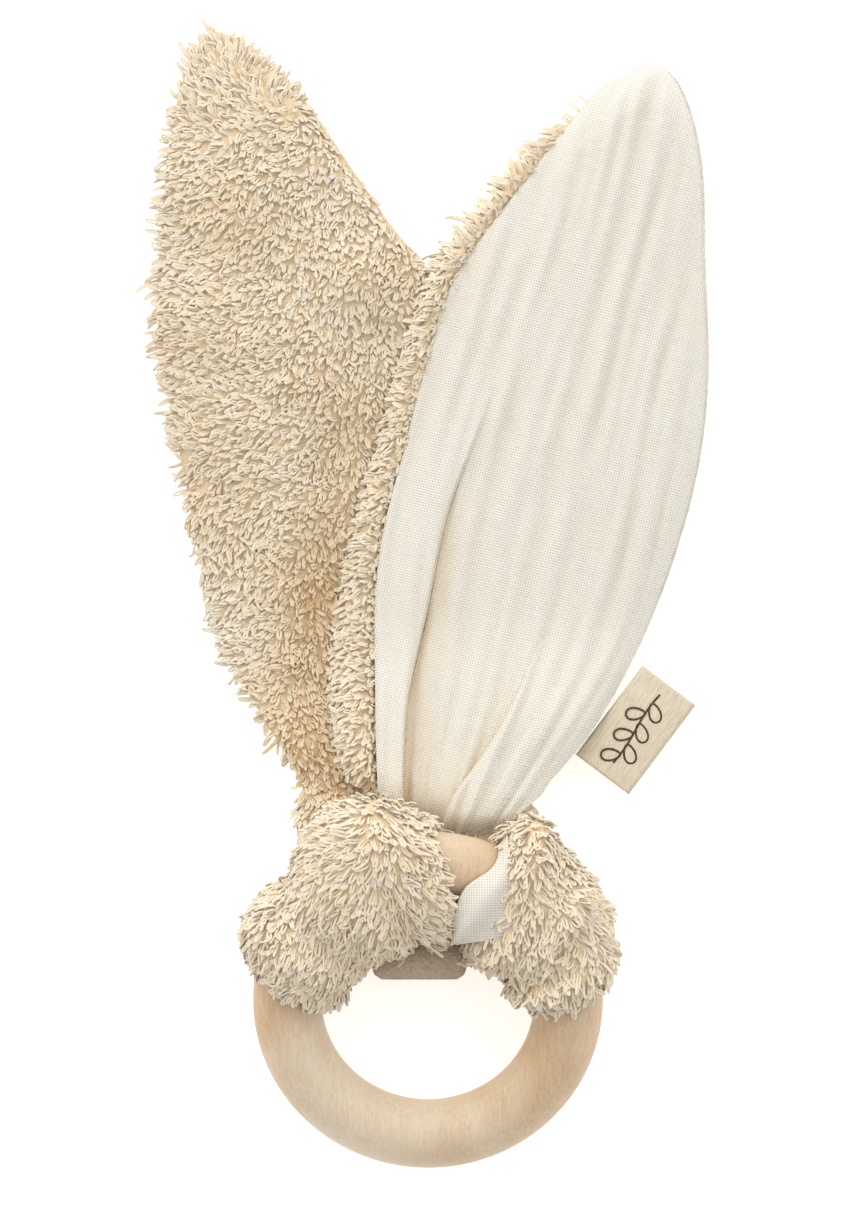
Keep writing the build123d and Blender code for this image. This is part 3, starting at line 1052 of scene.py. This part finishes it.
class LabelPlace:
    """The label's start in the seam, the ways out and along the seam, and its reach and width."""

    def __init__(self):
        joint = joints["label_flip"]
        self.start = np.array(joint["pos_m"]) / MM
        self.along = unit(np.array(joint["axis"]))
        self.out = np.cross(self.along, UP)
        self.out = self.out * np.sign(self.out[0])
        mesh = frame["nodes"]["label_tape"].data
        points = np.array([v.co for v in mesh.vertices]) / MM - self.start
        self.far = (points @ self.out).max()
        self.low, self.high = (points @ self.along).min(), (points @ self.along).max()
        self.z = points[:, 2].mean()


def label_tape(place):
    """Tape folded double: along its lower leaf, round the fold and back along the upper leaf."""
    t = np.linspace(0, 1, 15)[1:-1]
    flat = np.linspace(0, place.far - FOLD_R, 20)
    out = np.concatenate([flat, place.far - FOLD_R + FOLD_R * np.sin(math.pi * t), flat[::-1]])
    height = np.concatenate([0 * flat - FOLD_R, -FOLD_R * np.cos(math.pi * t), 0 * flat + FOLD_R])
    height = height * (1 - 0.55 * np.exp(-((out / place.far) ** 2) * 6))  # the leaves meet in the seam
    width = np.linspace(place.low, place.high, 36)
    bow = np.cos(np.linspace(-1.3, 1.3, 36))
    sag = TAPE_SAG * np.sin(np.pi * np.clip(out / place.far, 0, 1))[:, None] * bow
    grid = place.start + out[:, None, None] * place.out + width[None, :, None] * place.along
    grid = grid + (place.z + height[:, None] + sag)[..., None] * UP
    normals = grid_normals(grid)
    sign = np.sign(normals[-3, 18, 2])
    outer = grid + sign * normals * TAPE_HALF_T
    inner = grid - sign * normals * TAPE_HALF_T
    points, faces = shell(outer, inner) if sign > 0 else shell(inner, outer)
    uv = np.stack([np.tile(width, len(out)), np.repeat(np.arange(len(out)) * 0.55, len(width))], 1)
    tape = make_piece("label_woven_tape", points, faces, TAPE, uv=np.concatenate([uv, uv]))
    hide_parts("label_tape")
    rigid(tape, "label")
    return tape


def label_print(place):
    """A plain leaf sprig on the label's upper face: a stem along the seam and six leaves."""
    stem_out, leaf_length, leaf_breadth, leaf_lean = 6.6, 3.9, 1.15, math.radians(52)
    stem = np.linspace(-8.6, 8.0, 34)
    strokes = [(stem_out + 0.5 * np.sin(stem / 3.5), stem)]
    turn = np.linspace(0, 2 * math.pi, 26)
    s = leaf_length / 2 * (1 - np.cos(turn))
    wide = leaf_breadth * np.sin(turn) * (1 - 0.25 * np.cos(turn))
    for spot, way in ((-6.2, 1), (-3.8, -1), (-1.4, 1), (1.0, -1), (3.4, 1), (5.8, -1)):
        root = stem_out + 0.5 * math.sin(spot / 3.5)
        out = root + way * (s * math.sin(leaf_lean)) + wide * math.cos(leaf_lean)
        strokes.append((out, spot + s * math.cos(leaf_lean) - way * wide * math.sin(leaf_lean)))
    points, faces, count = [], [], 0
    for out, along in strokes:
        sag = TAPE_SAG * np.sin(np.pi * out / place.far) * np.cos(along / (place.high - place.low) * 2.6)
        line = place.start + out[:, None] * place.out
        line = line + (along + (place.low + place.high) / 2)[:, None] * place.along
        line = line + (place.z + (FOLD_R + sag + 0.2))[:, None] * UP
        sideways = unit(np.cross(unit(np.gradient(line, axis=0)), UP)) * 0.2
        ribbon = np.stack([line + sideways, line - sideways], 1)
        stroke, stroke_faces = shell(ribbon, ribbon - 0.12 * UP)
        points.append(stroke)
        faces.append(stroke_faces[:, ::-1] + count)
        count += len(stroke)
    sprig = make_piece("label_leaf_print", np.concatenate(points), np.concatenate(faces), INK)
    rigid(sprig, "label")
    return sprig


def label():
    place = LabelPlace()
    tape = label_tape(place)
    sprig = label_print(place)


# ---------------- ring, floor, light and camera


def wooden_ring():
    ring = frame["nodes"]["wooden_ring"]
    ring.data.materials.clear()
    ring.data.materials.append(MAPLE)


def floor():
    half = 1500.0
    corners = np.array([[-half, -half, 0], [half, -half, 0], [half, half, 0], [-half, half, 0]])
    grey, white = (0.93, 0.93, 0.93, 1.0), (0.95, 0.95, 0.95, 1.0)
    glow = {"Emission Color": (1.0, 1.0, 1.0, 1.0), "Emission Strength": 0.45}
    made = Finish("floor", {"Specular IOR Level": 0.0, "Roughness": 1.0, **glow})
    patches = made.noise(made.object_space(), 8.0, 2.0)
    made.set("Base Color", made.ramp(patches, (0.3, grey), (0.7, white)))
    make_piece("floor", corners, np.array([[0, 1, 2, 3]]), made.material)


def area_light(name, place, size, power, colour):
    """Round lamp that points at the object."""
    lamp = bpy.data.lights.new(name, "AREA")
    lamp.shape = "DISK"
    lamp.size = size
    lamp.energy = power
    lamp.color = colour
    holder = bpy.data.objects.new(name, lamp)
    holder.location = place
    target = np.array([0, 0, 0.01]) - np.array(place)
    holder.rotation_mode = "QUATERNION"
    holder.rotation_quaternion = Vector(target).to_track_quat("-Z", "Y")
    bpy.context.scene.collection.objects.link(holder)


def lights():
    """Soft light all round, a little brighter from the ears' side, and two large lamps."""
    world = bpy.data.worlds.new("studio")
    world.use_nodes = True
    tree = world.node_tree
    way = add_node(tree, "TexCoord").outputs["Generated"]
    axes = add_node(tree, "SeparateXYZ", {0: way}).outputs
    limits = {"From Min": -0.7, "From Max": 0.7, "To Min": 0.55, "To Max": 1.15}
    strength = add_node(tree, "MapRange", {"Value": axes["Y"], **limits}).outputs[0]
    background = tree.nodes["Background"].inputs
    tree.links.new(strength, background["Strength"])
    background["Color"].default_value = (1.0, 0.99, 0.975, 1)
    bpy.context.scene.world = world
    area_light("key", (-0.4, 0.85, 0.72), 0.7, 4.0, (1.0, 0.985, 0.965))
    area_light("fill", (0.7, 0.3, 1.0), 0.9, 1.0, (1.0, 0.99, 0.98))
    bpy.context.scene.view_settings.view_transform = "Standard"


def camera():
    """Straight above, with a long lens, framing what an 864 by 1210 picture of the object shows."""
    view_height = 243.2
    subject_height = 8.0
    lens = bpy.data.cameras.new("camera")
    lens.lens = 180.0
    lens.sensor_width = 36.0
    lens.clip_end = 10.0
    distance = view_height * lens.lens / lens.sensor_width + subject_height
    holder = bpy.data.objects.new("camera", lens)
    holder.location = (0.8 * MM, -2.2 * MM, distance * MM)
    bpy.context.scene.collection.objects.link(holder)
    bpy.context.scene.camera = holder


camera()
lights()
floor()
wooden_ring()
left_ear()
right_ear_terry()
right_ear_muslin()
lobe("left", LEFT_ROWS, LEFT_BULGES, -12.0, (-19.0, -47.0, 7.0, -1.2), 81)
lobe("right", RIGHT_ROWS, RIGHT_BULGES, 25.0, (34.0, -60.0, 8.0, 0.8), 91)
turned_back_lining()
back_bar()
label()
